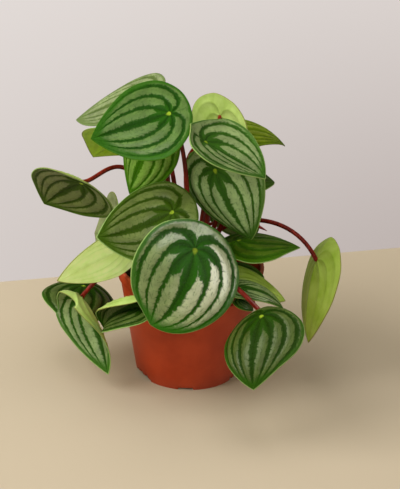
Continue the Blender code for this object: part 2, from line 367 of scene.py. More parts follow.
@dataclass(frozen=True)
class BladePattern:
    """The pattern that all upper sides share: sizes of its grains, and steps between its parts."""

    sway_size: float = 9 * MM
    streak_size: float = 2.4 * MM
    feather_size: float = 0.9 * MM
    speck_size: float = 1.7 * MM
    cloud_size: float = 12 * MM
    vein_wander: float = 0.12           # how far the sway moves a vein
    midrib: Step = (0.0, 0.55)          # lanes from the midrib
    midrib_end: Step = (0.05, 1.6)      # spread over which it ends
    rung_rate: float = 1.9              # how close together the cross veins are
    rung_slant: float = 0.8             # how far they fall back between two veins
    rung_sway: float = 1.6              # how far the sway moves them
    rung: Step = (0.0, 0.30)            # from a cross vein's middle
    rung_end: Step = (0.45, 1.0)        # away from the vein
    rung_streak: Step = (-0.14, 0.02)   # streaks that the cross veins show in
    speck: Step = (0.06, 0.34)          # from a speck's middle, in cell widths
    split: Step = (0.90, 1.0)           # away from the vein
    split_streak: Step = (-0.02, 0.10)  # streaks that the silver parts in
    cloud: Step = (-0.18, 0.18)         # from darker to lighter patches

    def mark(self, place: LeafPlace) -> Markings:
        """Return the markings at a place.

        Args:
            place: where on the blade.

        Returns:
            The markings, in the nodes of the place's paint.
        """
        sway = place.grain(self.sway_size, detail=1.0)
        streak = place.grain(self.streak_size, detail=3.0)
        feather = place.grain(self.feather_size)
        spread = place.spread()
        lane, away = place.from_vein(self.vein_wander * sway)
        midrib = (1 - lane.smooth(*self.midrib)) * (1 - spread.smooth(*self.midrib_end))
        turns = self.rung_rate * spread.maths("LOGARITHM", math.e) - self.rung_slant * away
        turns = turns + self.rung_sway * sway
        rungs = 1 - (2 * turns.maths("PINGPONG", 0.5)).smooth(*self.rung)
        rungs = rungs * (1 - away.smooth(*self.rung_end)) * streak.smooth(*self.rung_streak)
        return Markings(
            spread=spread, sway=sway, streak=streak, feather=feather, away=away, rungs=rungs,
            ragged=away + 0.60 * streak + 0.40 * feather - 0.20 * midrib - 0.12 * rungs,
            specks=place.paint.cells(place.point, self.speck_size).smooth(*self.speck),
            split=(away + 0.3 * feather).smooth(*self.split) * streak.smooth(*self.split_streak),
            light=place.grain(self.cloud_size, detail=3.0).smooth(*self.cloud))


# ---------------------------------------------------------------------------------------- finishes


@dataclass(frozen=True)
class LeafFinish:
    """The upper side of a leaf: dark along the veins, silver between them, a green margin."""

    name: str
    dark: Colour
    silver: Colour
    margin: Colour
    # the edge colour is a painted highlight: a pale line where the thin edge catches light
    edge: Colour = colour(150, 182, 104)
    joint: Colour = colour(158, 186, 48)    # the dot where the stalk meets the blade
    glare_colour: Colour = colour(240, 248, 218)   # painted glare: the silver's colour in the patch that stands for a light's sheen
    silver_share: float = 0.62              # how much of a lane is silver
    silver_from: float = 0.10               # how far from the joint the silver starts
    rim_from: float = 0.90                  # where the green rim starts
    green_tip: float = 0.18                 # length of the green tip, in blade lengths
    roughness: float = 0.36
    sheen: float = 0.8                      # extra shine of the silver
    painted_glare: float = 0.0                      # painted glare: how far the silver turns to the glare colour in one patch
    glare_middle: Pair = (0.25, 0.42)           # the glare patch's middle: ahead and to the left
    glare_fade: Step = (0.15, 0.72)         # from the glare patch's middle
    silver_edge: Step = (1.02, 1.26)        # from green to silver, less the silver's width
    dark_vein: Step = (0.0, 0.30)
    edge_line: Step = (0.986, 0.996)
    joint_dot: Step = (0.025, 0.065)
    pore_size: float = 0.5 * MM
    relief: float = 0.34 * MM
    pattern: BladePattern = BladePattern()

    def band(self, marks: Markings) -> Value:
        """Return how silver a point is, before the rim and the tip are taken off.

        Args:
            marks: the markings at the point.

        Returns:
            1 where it is silver.
        """
        onset = marks.spread.smooth(0.2 * self.silver_from, 3.5 * self.silver_from)
        width = (self.silver_share + 0.12) * onset
        start, end = self.silver_edge
        return marks.ragged.smooth(start - width, end - width)

    def silvered(self, place: LeafPlace, marks: Markings) -> bpy.types.NodeSocket:
        """Return the silver's colour, with its painted glare: a whiter patch for a light's sheen.

        Args:
            place: where on the blade.
            marks: the markings there.

        Returns:
            The colour.
        """
        paint = place.paint
        silver = paint.mix(marks.light, shaded(self.silver, 0.72), shaded(self.silver, 1.06))
        if not self.painted_glare:
            return silver
        # painted glare: the silver turns whiter round one point, where a light's sheen would fall
        ahead, aside = place.along - self.glare_middle[0], place.side - self.glare_middle[1]
        off = (ahead * ahead + aside * aside) ** 0.5 + 0.3 * marks.sway
        return paint.mix(self.painted_glare * (1 - off.smooth(*self.glare_fade)), silver, self.glare_colour)

    def material(self) -> bpy.types.Material:
        """Return the finish as a material, from the green up to the joint's dot.

        Returns:
            The material.
        """
        paint = Paint(self.name)
        place = LeafPlace.read(paint)
        marks = self.pattern.mark(place)
        reach, streak, feather, specks = place.reach, marks.streak, marks.feather, marks.specks
        torn = 0.06 * streak + 0.08 * feather + 0.10 * marks.sway
        tip = 1 - (place.from_tip + 2 * torn).smooth(0.8 * self.green_tip, 1.8 * self.green_tip)
        rim = (reach + torn).smooth(self.rim_from, 0.5 + 0.5 * self.rim_from)
        band = self.band(marks) * (1 - 0.85 * rim) * (1 - 0.85 * tip) * (0.74 + 0.26 * specks)
        band = band * (1 - 0.5 * marks.split) * (1 - 0.55 * marks.rungs)
        vein = 1 - (marks.ragged - 0.35 * streak).smooth(*self.dark_vein)
        green = paint.mix(marks.light, shaded(self.dark, 0.80), shaded(self.dark, 1.40))
        green = paint.mix(0.5 * marks.away.smooth(0.20, 0.75), green, self.margin)
        green = paint.mix(0.45 * vein, green, shaded(self.dark, 0.60))
        green = paint.mix(0.35 * specks * (1 - band), green, self.margin)
        base = paint.mix(rim.maths("MAXIMUM", tip) * (1 - 0.6 * vein), green, self.margin)
        base = paint.mix(band, base, self.silvered(place, marks))
        # painted highlight: a pale line along the blade's edge
        base = paint.mix(reach.smooth(*self.edge_line), base, self.edge)
        base = paint.mix(1 - reach.smooth(*self.joint_dot), base, self.joint)
        paint.feed(paint.shader.inputs["Coat Weight"], self.sheen * band * specks)
        roughness = self.roughness + 0.06 * marks.light + 0.30 * feather + 0.12 * (1 - band)
        pores = paint.grain(place.point, self.pore_size)
        relief = 0.4 * pores + 0.6 * specks + 0.5 * streak - 0.6 * marks.rungs - 0.7 * marks.split
        return paint.finish(base, roughness, relief, self.relief, Specular_IOR_Level=0.06,
                            Coat_Roughness=0.30)


@dataclass(frozen=True)
class UndersideFinish:
    """The pale lower side of a leaf, with its raised veins."""

    name: str
    pale: Colour
    green: Colour
    edge: Colour = colour(128, 128, 60)
    glow: float = 0.10              # painted glow: emitted light that stands for light the thin blade lets through
    roughness: float = 0.42
    vein: Step = (0.03, 0.30)       # from the vein's middle
    vein_end: Step = (0.6, 4.0)     # spread over which it ends
    cloud: Step = (-0.22, 0.22)     # from greener to paler patches
    edge_line: Step = (0.980, 0.994)
    cloud_size: float = 12 * MM
    pore_size: float = 0.6 * MM
    relief: float = 0.12 * MM

    def material(self) -> bpy.types.Material:
        """Return the finish as a material, from the clouded green up to the edge line.

        Returns:
            The material.
        """
        paint = Paint(self.name)
        place = LeafPlace.read(paint)
        _, away = place.from_vein()
        vein = (1 - away.smooth(*self.vein)) * (1 - place.spread().smooth(*self.vein_end))
        cloud = place.grain(self.cloud_size, detail=3.0)
        base = paint.mix(cloud.smooth(*self.cloud), self.green, self.pale)
        base = paint.mix(0.30 * away * place.reach.smooth(0.1, 0.5), base, shaded(self.pale, 1.12))
        base = paint.mix(0.28 * vein, base, shaded(self.green, 0.8))
        base = paint.mix(place.reach.smooth(*self.edge_line), base, self.edge)
        # painted glow: the underside emits its own colour, for light shining through the thin blade
        paint.feed(paint.shader.inputs["Emission Color"], base)
        pores = paint.grain(place.point, self.pore_size)
        return paint.finish(base, self.roughness + 0.1 * cloud, pores + 0.6 * vein, self.relief,
                            Specular_IOR_Level=0.15, Emission_Strength=self.glow)


class Coat(Enum):
    """How a leaf's upper side is coloured."""

    FRESH = LeafFinish("fresh_leaf", colour(14, 50, 2), colour(92, 124, 56), colour(42, 94, 6),
                       edge=colour(66, 116, 16), silver_share=0.70, silver_from=0.04, rim_from=0.84,
                       sheen=0.3)
    # SILVERED carries a painted glare: whiter silver in one patch, for a light's sheen
    SILVERED = LeafFinish("silvered_leaf", colour(42, 78, 18), colour(152, 178, 118),
                          colour(46, 118, 8), silver_share=0.74, silver_from=0.09, rim_from=0.88,
                          green_tip=0.24, sheen=0.6, painted_glare=0.9)
    PEWTER = LeafFinish("pewter_leaf", colour(44, 84, 24), colour(154, 182, 122),
                        colour(64, 108, 30), silver_share=0.74, silver_from=0.05, sheen=0.6)
    STRIPED = LeafFinish("striped_leaf", colour(38, 72, 14), colour(136, 158, 98),
                         colour(58, 104, 24), silver_share=0.70, silver_from=0.06, sheen=0.6)
    HAZY = LeafFinish("hazy_leaf", colour(80, 100, 46), colour(140, 156, 106), colour(106, 126, 70),
                      edge=colour(120, 142, 84), silver_share=0.72, sheen=0.3)
    # MUTED is painted shade: a darker striped coat for leaves that lie in shade
    MUTED = LeafFinish("muted_leaf", colour(26, 42, 2), colour(80, 98, 42), colour(40, 80, 4),
                       silver_share=0.66, silver_from=0.08, sheen=0.3)
    OLIVE = LeafFinish("olive_leaf", colour(38, 58, 2), colour(106, 122, 60), colour(62, 92, 10),
                       silver_share=0.72, silver_from=0.06, sheen=0.3)
    DEEP = LeafFinish("deep_leaf", colour(36, 70, 2), colour(76, 106, 16), colour(60, 104, 4),
                      silver_share=0.6, silver_from=0.06, rim_from=0.84, sheen=0.1)
    BRIGHT = LeafFinish("bright_leaf", colour(42, 86, 2), colour(126, 166, 68), colour(72, 126, 8),
                        silver_share=0.72, silver_from=0.05, rim_from=0.84, sheen=0.3)
    YELLOWED = LeafFinish("yellowed_leaf", colour(76, 98, 4), colour(116, 136, 26),
                          colour(88, 114, 8), edge=colour(112, 132, 40), sheen=0.1)


class Under(Enum):
    """How a leaf's lower side is coloured."""

    # PALE is a pale underside made lighter still, with a strong glow: painted light through the blade
    PALE = UndersideFinish("pale_underside", colour(208, 224, 150), colour(186, 208, 118), glow=0.44)
    YELLOW = UndersideFinish("yellow_underside", colour(172, 204, 62), colour(146, 184, 32))
    LIME = UndersideFinish("lime_underside", colour(156, 178, 78), colour(130, 158, 46), glow=0.06)
    LEMON = UndersideFinish("lemon_underside", colour(176, 198, 112), colour(148, 174, 78))
    GREYED = UndersideFinish("greyed_underside", colour(142, 152, 104), colour(110, 122, 74),
                             glow=0.03)


@dataclass(frozen=True)
class StalkFinish:
    """Smooth fleshy stalk, dark red and a little streaked along its length."""

    name: str = "red_stalk"
    deep: Colour = colour(92, 14, 10)
    warm: Colour = colour(150, 40, 24)
    mottle: Step = (0.36, 0.66)
    streak_size: float = 2.2 * MM
    streak_stretch: Point = (1.0, 1.0, 0.25)
    patch_size: float = 16 * MM
    roughness: float = 0.34
    relief: float = 0.12 * MM

    def material(self) -> bpy.types.Material:
        """Return the finish as a material, mottled by streaks and wider patches.

        Returns:
            The material.
        """
        paint = Paint(self.name)
        place = paint.place()
        streak = paint.grain(paint.stretched(place, self.streak_stretch), self.streak_size, detail=3.0)
        patch = paint.grain(place, self.patch_size)
        base = paint.mix((0.5 * streak + 0.5 * patch).smooth(*self.mottle), self.deep, self.warm)
        return paint.finish(base, self.roughness + 0.2 * (streak - 0.5), streak, self.relief,
                            Specular_IOR_Level=0.2)


@dataclass(frozen=True)
class CrownFinish:
    """The woody, knobbly stem that the stalks grow from."""

    name: str = "fleshy_crown"
    red: Colour = colour(70, 22, 18)
    brown: Colour = colour(128, 74, 44)
    mottle: Step = (0.35, 0.65)
    centre: Point = (0.0, 0.0, 94.75 * MM)  # where the grain is read from
    patch_size: float = 5 * MM
    roughness: float = 0.6
    relief: float = 1.2 * MM

    def material(self) -> bpy.types.Material:
        """Return the finish as a material, red with brown patches.

        Returns:
            The material.
        """
        paint = Paint(self.name)
        patch = paint.grain(paint.place_from(self.centre), self.patch_size, detail=4.0)
        base = paint.mix(patch.smooth(*self.mottle), self.red, self.brown)
        return paint.finish(base, self.roughness + 0.2 * (patch - 0.5), patch, self.relief)


@dataclass(frozen=True)
class TerracottaPlastic:
    """Thin moulded plastic in a terracotta colour, dusty at its foot and scuffed at its rim."""

    rim_top: float
    base_radius: float
    openings_top: float                 # highest point of the arch and the slots
    name: str = "terracotta_plastic"
    deep: Colour = colour(168, 56, 20)
    warm: Colour = colour(184, 66, 27)
    dusty: Colour = colour(186, 132, 104)
    worn: Colour = colour(206, 130, 98)
    shade: Colour = colour(46, 16, 8)   # on the underside and in the openings
    mottle: Step = (0.3, 0.7)
    dust_height: float = 14 * MM
    scuff_height: float = 1.2 * MM
    skin: Step = (1.6 * MM, 0.8 * MM)   # depth of the shade behind the base's corner
    cloud_size: float = 26 * MM
    speck_size: float = 0.7 * MM
    roughness: float = 0.48
    relief: float = 0.05 * MM

    def material(self) -> bpy.types.Material:
        """Return the finish as a material: mottle, then dust, scuffs and shade.

        Returns:
            The material.
        """
        paint = Paint(self.name)
        place = paint.place()
        x, y, height = paint.axes(place)
        radius = (x * x + y * y) ** 0.5
        cloud = paint.grain(place, self.cloud_size, detail=3.0)
        speck = paint.grain(place, self.speck_size)
        dust = (1 - height.smooth(0.0, self.dust_height)) * speck.smooth(0.35, 0.6)
        scuff = height.smooth(self.rim_top - self.scuff_height, self.rim_top) * cloud.smooth(0.4, 0.6)
        inside = 1 - radius.smooth(*(self.base_radius - depth for depth in self.skin))
        below = 1 - height.smooth(self.openings_top, self.openings_top + 0.2 * MM)
        base = paint.mix(cloud.smooth(*self.mottle), self.deep, self.warm)
        base = paint.mix(0.08 * dust, base, self.dusty)
        base = paint.mix(0.3 * scuff, base, self.worn)
        base = paint.mix(inside * below, base, self.shade)
        return paint.finish(base, self.roughness + 0.16 * (cloud - 0.5) + 0.1 * dust, speck,
                            self.relief, Specular_IOR_Level=0.25)


@dataclass(frozen=True)
class PottingSoil:
    """Dark peat mix: black and brown lumps with straw-coloured fibres."""

    name: str = "potting_soil"
    black: Colour = colour(28, 20, 15)
    brown: Colour = colour(74, 54, 38)
    straw: Colour = colour(110, 82, 54)
    mottle: Step = (0.35, 0.65)
    fibre: Step = (0.58, 0.7)
    centre: Point = (0.0, 0.0, 1.8 * MM)    # where the grain is read from
    lump_size: float = 3 * MM
    fibre_size: float = 2 * MM
    fibre_stretch: Point = (3.0, 0.6, 1.0)
    roughness: float = 0.92
    relief: float = 1.0 * MM

    def material(self) -> bpy.types.Material:
        """Return the finish as a material, lumps with fibres over them.

        Returns:
            The material.
        """
        paint = Paint(self.name)
        place = paint.place_from(self.centre)
        lump = paint.grain(place, self.lump_size, detail=5.0)
        fibre = paint.grain(paint.stretched(place, self.fibre_stretch), self.fibre_size, detail=3.0)
        base = paint.mix(lump.smooth(*self.mottle), self.black, self.brown)
        base = paint.mix(0.6 * fibre.smooth(*self.fibre), base, self.straw)
        return paint.finish(base, self.roughness, lump + 0.4 * fibre, self.relief,
                            Specular_IOR_Level=0.2)


@dataclass(frozen=True)
class StudioFinish:
    """A plain, softly mottled studio surface."""

    name: str
    shade: Colour
    mottle: Step = (0.3, 0.7)
    cloud_size: float = 0.5
    roughness: float = 0.6

    def material(self) -> bpy.types.Material:
        """Return the finish as a material, with clouds hardly darker than the rest.

        Returns:
            The material.
        """
        paint = Paint(self.name)
        cloud = paint.grain(paint.place(), self.cloud_size, detail=1.0)
        base = paint.mix(cloud.smooth(*self.mottle), shaded(self.shade, 0.97), self.shade)
        return paint.finish(base, self.roughness, Specular_IOR_Level=0.0)


# --------------------------------------------------------------------------------------- modelling


def deselect() -> None:
    """Leave edit mode and deselect everything."""
    if bpy.context.object and bpy.context.object.mode == "EDIT":
        bpy.ops.object.mode_set(mode="OBJECT")
    bpy.ops.object.select_all(action="DESELECT")


def select_only(piece: bpy.types.Object) -> None:
    """Select a piece alone and make it the active object.

    Args:
        piece: the piece.
    """
    deselect()
    piece.select_set(True)
    bpy.context.view_layer.objects.active = piece


def in_edit_mode(piece: bpy.types.Object, work: Callable[[], None]) -> None:
    """Run mesh operators on all of a piece.

    Args:
        piece: the piece, which is selected all over.
        work: the function that runs the operators.
    """
    select_only(piece)
    bpy.ops.object.mode_set(mode="EDIT")
    bpy.ops.mesh.select_all(action="SELECT")
    work()
    bpy.ops.object.mode_set(mode="OBJECT")
    piece.select_set(False)


def name_piece(name: str) -> bpy.types.Object:
    """Name the active object and its mesh.

    Args:
        name: the piece's name.

    Returns:
        The object.
    """
    piece = bpy.context.object
    piece.name = name
    piece.data.name = name
    return piece


def face_outwards() -> None:
    """Turn every face of the mesh in edit mode outwards."""
    bpy.ops.mesh.select_all(action="SELECT")
    bpy.ops.mesh.normals_make_consistent(inside=False)


def set_origin(piece: bpy.types.Object) -> None:
    """Move a piece's origin to the middle of the pot's base, with its mesh left where it is.

    Args:
        piece: the piece.
    """
    select_only(piece)
    bpy.ops.object.transform_apply(location=True, rotation=False, scale=False)


def close_shell() -> None:
    """Merge the doubled points of the mesh in edit mode and turn its faces outwards."""
    bpy.ops.mesh.remove_doubles(threshold=1e-6)
    face_outwards()


def select_edges() -> None:
    """Select every edge of the mesh in edit mode."""
    bpy.ops.mesh.select_mode(type="EDGE")
    bpy.ops.mesh.select_all(action="SELECT")


def extrude_rings(rings: list[Pair]) -> None:
    """Extrude the selected edge of the mesh in edit mode from ring to ring.

    Args:
        rings: radius and height of the edge as it is, and then of each ring to come.
    """
    for (radius, height), (next_radius, next_height) in zip(rings, rings[1:]):
        bpy.ops.mesh.extrude_edges_move(
            TRANSFORM_OT_translate={"value": (0, 0, next_height - height)})
        scale = next_radius / radius
        bpy.ops.transform.resize(value=(scale, scale, 1), center_override=(0, 0, next_height))


def hand_over(piece: bpy.types.Object, node: str, slot: str, *finishes: bpy.types.Material) -> None:
    """Give a piece its finishes, and let it ride with the plant and stand for its CAD node.

    Args:
        piece: the finished piece.
        node: the CAD node that it replaces.
        slot: the record's material slot; not used.
        finishes: the materials, in the order that the piece's faces count them.
    """
    for finish in finishes:
        piece.data.materials.append(finish)
    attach(piece, BODY)
    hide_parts(node)
    LOG.info("%s: %d faces", piece.name, len(piece.data.polygons))


def curve_points(controls: list[Vector], steps: int) -> list[Vector]:
    """Return points along a Bezier curve of any degree, by repeated halfway mixing.

    Args:
        controls: the curve's control points.
        steps: how many steps it has.

    Returns:
        One point more than the steps.
    """
    points = []
    for i in range(steps + 1):
        level = [Vector(c) for c in controls]
        while len(level) > 1:
            level = [a.lerp(b, i / steps) for a, b in zip(level, level[1:])]
        points.append(level[0])
    return points


def round_rod(name: str, points: list[Vector], radii: list[float]) -> bpy.types.Object:
    """Model a rod along points, as a bevelled curve turned into a mesh.

    Args:
        name: the piece's name.
        points: the rod's centre line.
        radii: the rod's radius at each point.

    Returns:
        The rod, with closed ends.
    """
    deselect()
    bpy.ops.curve.primitive_nurbs_path_add()
    path = bpy.context.object
    path.data.splines.clear()
    spline = path.data.splines.new("POLY")
    spline.points.add(len(points) - 1)
    for target, point, radius in zip(spline.points, points, radii):
        target.co = (*point, 1.0)
        target.radius = radius
    path.data.bevel_depth = 1.0
    path.data.bevel_resolution = 3
    path.data.use_fill_caps = True
    bpy.ops.object.convert(target="MESH")
    rod = name_piece(name)
    in_edit_mode(rod, close_shell)
    rod.data.shade_smooth()
    return rod


# --------------------------------------------------------------------------------------------- pot


@dataclass
class Pot:
    """The nursery pot: tapered wall, stepped rim, and openings at the corner of its flat base."""

    rim_radius: float = 60 * MM
    rim_top: float = 94.5 * MM
    rim_height: float = 10 * MM
    rim_step: float = 1.4 * MM
    rim_draft: float = 0.8 * MM             # how far the rim is drawn in at its foot and its top edge
    lip_width: float = 1.8 * MM             # of the flat top of the rim
    lip_round: float = 1 * MM               # height of the rounding beside it
    rim_wall: float = 3.3 * MM
    base_radius: float = 42.5 * MM
    wall: float = 1.2 * MM
    floor: float = 1.5 * MM
    flat_radius: float = 36 * MM
    ring_heights: tuple[float, ...] = (6 * MM, 7 * MM, 9 * MM, 45 * MM)
    notch_width: float = 13 * MM
    notch_height: float = 1.8 * MM
    arch_from: float = math.radians(-168)
    arch_to: float = math.radians(-132)
    arch_height: float = 3 * MM
    slots: tuple[int, ...] = (-160, -150, -140, -30, -20, 60, 70, 80)  # degrees from +X
    slot_width: float = 2.6 * MM
    slot_height: float = 2.2 * MM
    edge_round: float = 0.35 * MM
    edge_angle: float = math.radians(25)    # corners sharper than this are rounded
    crease_angle: float = math.radians(40)  # and than this they stay creases
    sides: int = 240

    @property
    def below_rim(self) -> float:
        """Return the height of the rim's lower edge."""
        return self.rim_top - self.rim_height

    def wall_radius(self, height: float) -> float:
        """Return the outer radius of the tapered wall at a height."""
        top = self.rim_radius - self.rim_step - self.rim_draft
        return self.base_radius + (top - self.base_radius) * height / self.below_rim

    def lift(self, angle: float) -> float:
        """Return how far the base's corner is raised at an angle, with the slots."""
        slot = any(abs(angle - math.radians(a)) * self.base_radius < self.slot_width / 2
                   for a in self.slots)
        return self.corner(angle) + (self.slot_height if slot else 0.0)

    def corner(self, angle: float) -> float:
        """Return the raise of the front notch and the left arch alone.

        Args:
            angle: the place on the corner, in radians from +X.

        Returns:
            The raise, in metres.
        """
        if abs(angle + math.pi / 2) * self.base_radius <= self.notch_width / 2:
            return self.notch_height
        if self.arch_from < angle < self.arch_to:
            share = (angle - self.arch_from) / (self.arch_to - self.arch_from)
            return self.arch_height * math.sin(math.pi * share) ** 0.5
        return 0.0

    def profile(self) -> list[Pair]:
        """Return radius and height of each ring, from the base over the rim and down inside.

        Returns:
            The rings in order.
        """
        rim, below, top = self.rim_radius, self.below_rim, self.rim_top
        return [(self.flat_radius, 0.0), (self.base_radius, 0.0),
                *((self.wall_radius(z), z) for z in (*self.ring_heights, below)),
                (rim - self.rim_draft, below), (rim, top - self.lip_round),
                (rim - self.rim_draft, top), (rim - self.rim_draft - self.lip_width, top),
                (rim - self.rim_wall, top - self.lip_round),
                *((self.wall_radius(z) - self.wall, z) for z in (below, self.ring_heights[0])),
                (self.base_radius - self.wall, self.floor), (self.flat_radius, self.floor)]

    def build(self) -> bpy.types.Object:
        """Model the pot by extruding a disc up its outside, over the rim and down its inside.

        Returns:
            The pot.
        """
        deselect()
        bpy.ops.mesh.primitive_circle_add(vertices=self.sides, radius=self.flat_radius,
                                          fill_type="NGON", location=(0, 0, 0))
        pot = name_piece("nursery_pot")

        def shape() -> None:
            """Extrude the disc's edge ring by ring, then close the floor."""
            select_edges()
            bpy.ops.mesh.delete(type="ONLY_FACE")
            bpy.ops.mesh.select_all(action="SELECT")
            bpy.ops.mesh.edge_face_add()
            bpy.ops.mesh.select_all(action="SELECT")
            extrude_rings(self.profile())
            bpy.ops.mesh.edge_face_add()
            face_outwards()

        in_edit_mode(pot, shape)
        self.raise_corner(pot)
        soften = pot.modifiers.new("soften", "BEVEL")
        soften.width = self.edge_round
        soften.segments = 2
        soften.angle_limit = self.edge_angle
        select_only(pot)
        bpy.ops.object.modifier_apply(modifier=soften.name)
        pot.data.shade_smooth()
        pot.data.set_sharp_from_angle(angle=self.crease_angle)
        return pot

    def raise_corner(self, pot: bpy.types.Object) -> None:
        """Raise the base's outer and inner corner at the notch, the arch and the slots.

        Args:
            pot: the pot with a level base.
        """
        for vertex in pot.data.vertices:
            x, y, z = vertex.co
            outside = math.hypot(x, y) > self.flat_radius + 1 * MM
            if outside and z < self.floor + 0.1 * MM:
                vertex.co.z += self.lift(math.atan2(y, x))

    def dress(self, pot: bpy.types.Object) -> None:
        """Give the pot its plastic and hand it over."""
        plastic = TerracottaPlastic(self.rim_top, self.base_radius, self.arch_height + self.slot_height)
        hand_over(pot, "pot", "pot", plastic.material())


# ------------------------------------------------------------------------------------ soil and crown


@dataclass
class Soil:
    """The soil: a level top inside the rim, with loose crumbs that lie higher towards the crown."""

    edge: float = 79 * MM               # height of the level top
    top: float = 81.2 * MM              # height of the crumbs round the crown
    sunk: float = 0.3 * MM              # how far all crumbs lie lower
    slope: Pair = (14 * MM, 56 * MM)    # radii that their height falls between
    gap: float = 0.3 * MM               # space below it
    side_gap: float = 0.45 * MM         # space between it and the wall
    foot_height: float = 7 * MM         # where its side joins the pot's taper
    foot_inset: float = 2 * MM
    lump_size: float = 5 * MM
    lump_height: float = 0.9 * MM
    lump_noise: tuple[float, float, int] = (0.6, 2.0, 4)  # dimension, lacunarity, octaves
    crumbs: int = 260
    crumb_size: Pair = (0.5 * MM, 1.5 * MM)
    crumb_area: Pair = (0.05, 0.94)     # where they lie, as shares of the top's area
    crumb_depth: Pair = (0.6, 1)        # of their width
    crumb_height: Pair = (0.5, 0.9)
    crumb_lift: float = 0.2             # how far their middle stands up, in radii
    seed: int = 7
    rings: int = 26
    sides: int = 96

    def height(self, radius: float) -> float:
        """Return the height that crumbs lie at, without the lumps.

        Args:
            radius: the distance from the axis, in metres.

        Returns:
            The height, in metres.
        """
        middle, outer = self.slope
        share = min(max((radius - middle) / (outer - middle), 0), 1)
        return self.top - self.sunk - (self.top - self.edge) * share

    def lump(self, x: float, y: float) -> float:
        """Return how much higher or lower a crumb lies at a place."""
        return self.lump_height * noise.fractal(Vector((x, y, 0)) / self.lump_size, *self.lump_noise)

    def build(self, pot: Pot) -> bpy.types.Object:
        """Model the soil that fills the pot, and scatter crumbs on it.

        Args:
            pot: the pot that holds it.

        Returns:
            The soil.
        """
        deselect()
        foot, foot_radius = pot.floor + self.gap, pot.flat_radius - self.foot_inset
        bpy.ops.mesh.primitive_circle_add(vertices=self.sides, radius=foot_radius,
                                          fill_type="NGON", location=(0, 0, foot))
        soil = name_piece("potting_mix")
        low_radius, top_radius = (pot.wall_radius(z) - pot.wall - self.side_gap
                                  for z in (self.foot_height, self.edge))
        steps = [(foot_radius, foot), (low_radius, self.foot_height), (top_radius, self.edge)]
        steps += [(top_radius * (1 - i / self.rings), self.edge) for i in range(1, self.rings)]

        def shape() -> None:
            """Extrude the floor's edge up the wall and in over the top."""
            select_edges()
            extrude_rings(steps)
            bpy.ops.mesh.merge(type="CENTER")
            face_outwards()

        in_edit_mode(soil, shape)
        soil.data.shade_smooth()
        self.scatter(soil, top_radius)
        set_origin(soil)
        return soil

    def scatter(self, soil: bpy.types.Object, reach: float) -> None:
        """Join many small crumbs to the soil's top.

        Args:
            soil: the soil.
            reach: the radius of its top, in metres.
        """
        chance = random.Random(self.seed)
        crumbs = []
        for _ in range(self.crumbs):
            radius = reach * math.sqrt(chance.uniform(*self.crumb_area))
            angle = chance.uniform(0, 2 * math.pi)
            x, y = radius * math.cos(angle), radius * math.sin(angle)
            size = chance.uniform(*self.crumb_size)
            deselect()
            bpy.ops.mesh.primitive_ico_sphere_add(subdivisions=1, radius=size)
            crumb = bpy.context.object
            turn = Euler([chance.uniform(0, 3) for _ in range(3)]).to_matrix().to_4x4()
            squash = Matrix.Diagonal((1, chance.uniform(*self.crumb_depth),
                                      chance.uniform(*self.crumb_height), 1))
            height = self.height(radius) + self.lump(x, y) + self.crumb_lift * size
            crumb.data.transform(Matrix.Translation((x, y, height)) @ turn @ squash)
            crumb.data.shade_smooth()
            crumbs.append(crumb)
        select_only(soil)
        for crumb in crumbs:
            crumb.select_set(True)
        bpy.ops.object.join()

    def dress(self, soil: bpy.types.Object) -> None:
        """Give the soil its finish and hand it over."""
        hand_over(soil, "soil", "soil", PottingSoil().material())


@dataclass
class Crown:
    """The short stout stem in the middle of the soil, with its seats for the stalks."""

    radius: float = 10 * MM
    foot: float = 81.5 * MM
    shoulder: float = 108 * MM  # where the dome starts
    dome: tuple[Pair, ...] = ((2.5 * MM, 0.88), (1.7 * MM, 0.72), (0.7 * MM, 0.5))
    tier_heights: tuple[float, ...] = (87.5 * MM, 96.5 * MM, 105.5 * MM)
    tier_offsets: tuple[float, ...] = (0.0, 0.5, 0.25)
    seats: int = 9
    gap: float = 0.3 * MM
    knob_size: float = 6 * MM
    knob_height: float = 0.5 * MM
    sides: int = 24
    crease_angle: float = math.radians(60)

    def seat(self, tier: int, slot: int) -> tuple[Vector, Vector]:
        """Return where a stalk leaves the crown.

        Args:
            tier: the ring of seats, from 0 at the bottom.
            slot: the seat in the ring.

        Returns:
            The stalk's first point and the direction it leaves in.
        """
        angle = 2 * math.pi * (slot + self.tier_offsets[tier]) / self.seats
        outward = Vector((math.cos(angle), math.sin(angle), 0))
        return outward * (self.radius + self.gap) + Vector((0, 0, self.tier_heights[tier])), outward

    def build(self) -> bpy.types.Object:
        """Model the crown: a cylinder drawn in to a dome, subdivided and roughened.

        Returns:
            The crown.
        """
        deselect()
        middle = Vector((0, 0, (self.foot + self.shoulder) / 2))
        bpy.ops.mesh.primitive_cylinder_add(vertices=self.sides, radius=self.radius,
                                            depth=self.shoulder - self.foot, location=middle)
        crown = name_piece("plant_crown")

        def shape() -> None:
            """Draw the top in to a dome and cut the side into rings."""
            bpy.ops.mesh.select_all(action="DESELECT")
            mesh = bmesh.from_edit_mesh(crown.data)
            for face in mesh.faces:
                face.select = face.normal.z > 0.5
            bmesh.update_edit_mesh(crown.data)
            for rise, scale in self.dome:
                bpy.ops.mesh.extrude_region_move(TRANSFORM_OT_translate={"value": (0, 0, rise)})
                bpy.ops.transform.resize(value=(scale, scale, 1))
            bpy.ops.mesh.select_all(action="SELECT")
            bpy.ops.mesh.subdivide(number_cuts=2)

        in_edit_mode(crown, shape)
        for vertex in crown.data.vertices:
            outward = Vector((vertex.co.x, vertex.co.y, 0))
            if outward.length > 1 * MM:
                swell = self.knob_height * noise.noise(vertex.co / self.knob_size)
                vertex.co += outward.normalized() * swell
        crown.data.shade_smooth()
        crown.data.set_sharp_from_angle(angle=self.crease_angle)
        set_origin(crown)
        return crown

    def dress(self, crown: bpy.types.Object) -> None:
        """Give the crown its finish and hand it over."""
        hand_over(crown, "crown", "crown", CrownFinish().material())


# ------------------------------------------------------------------------------------------ leaves


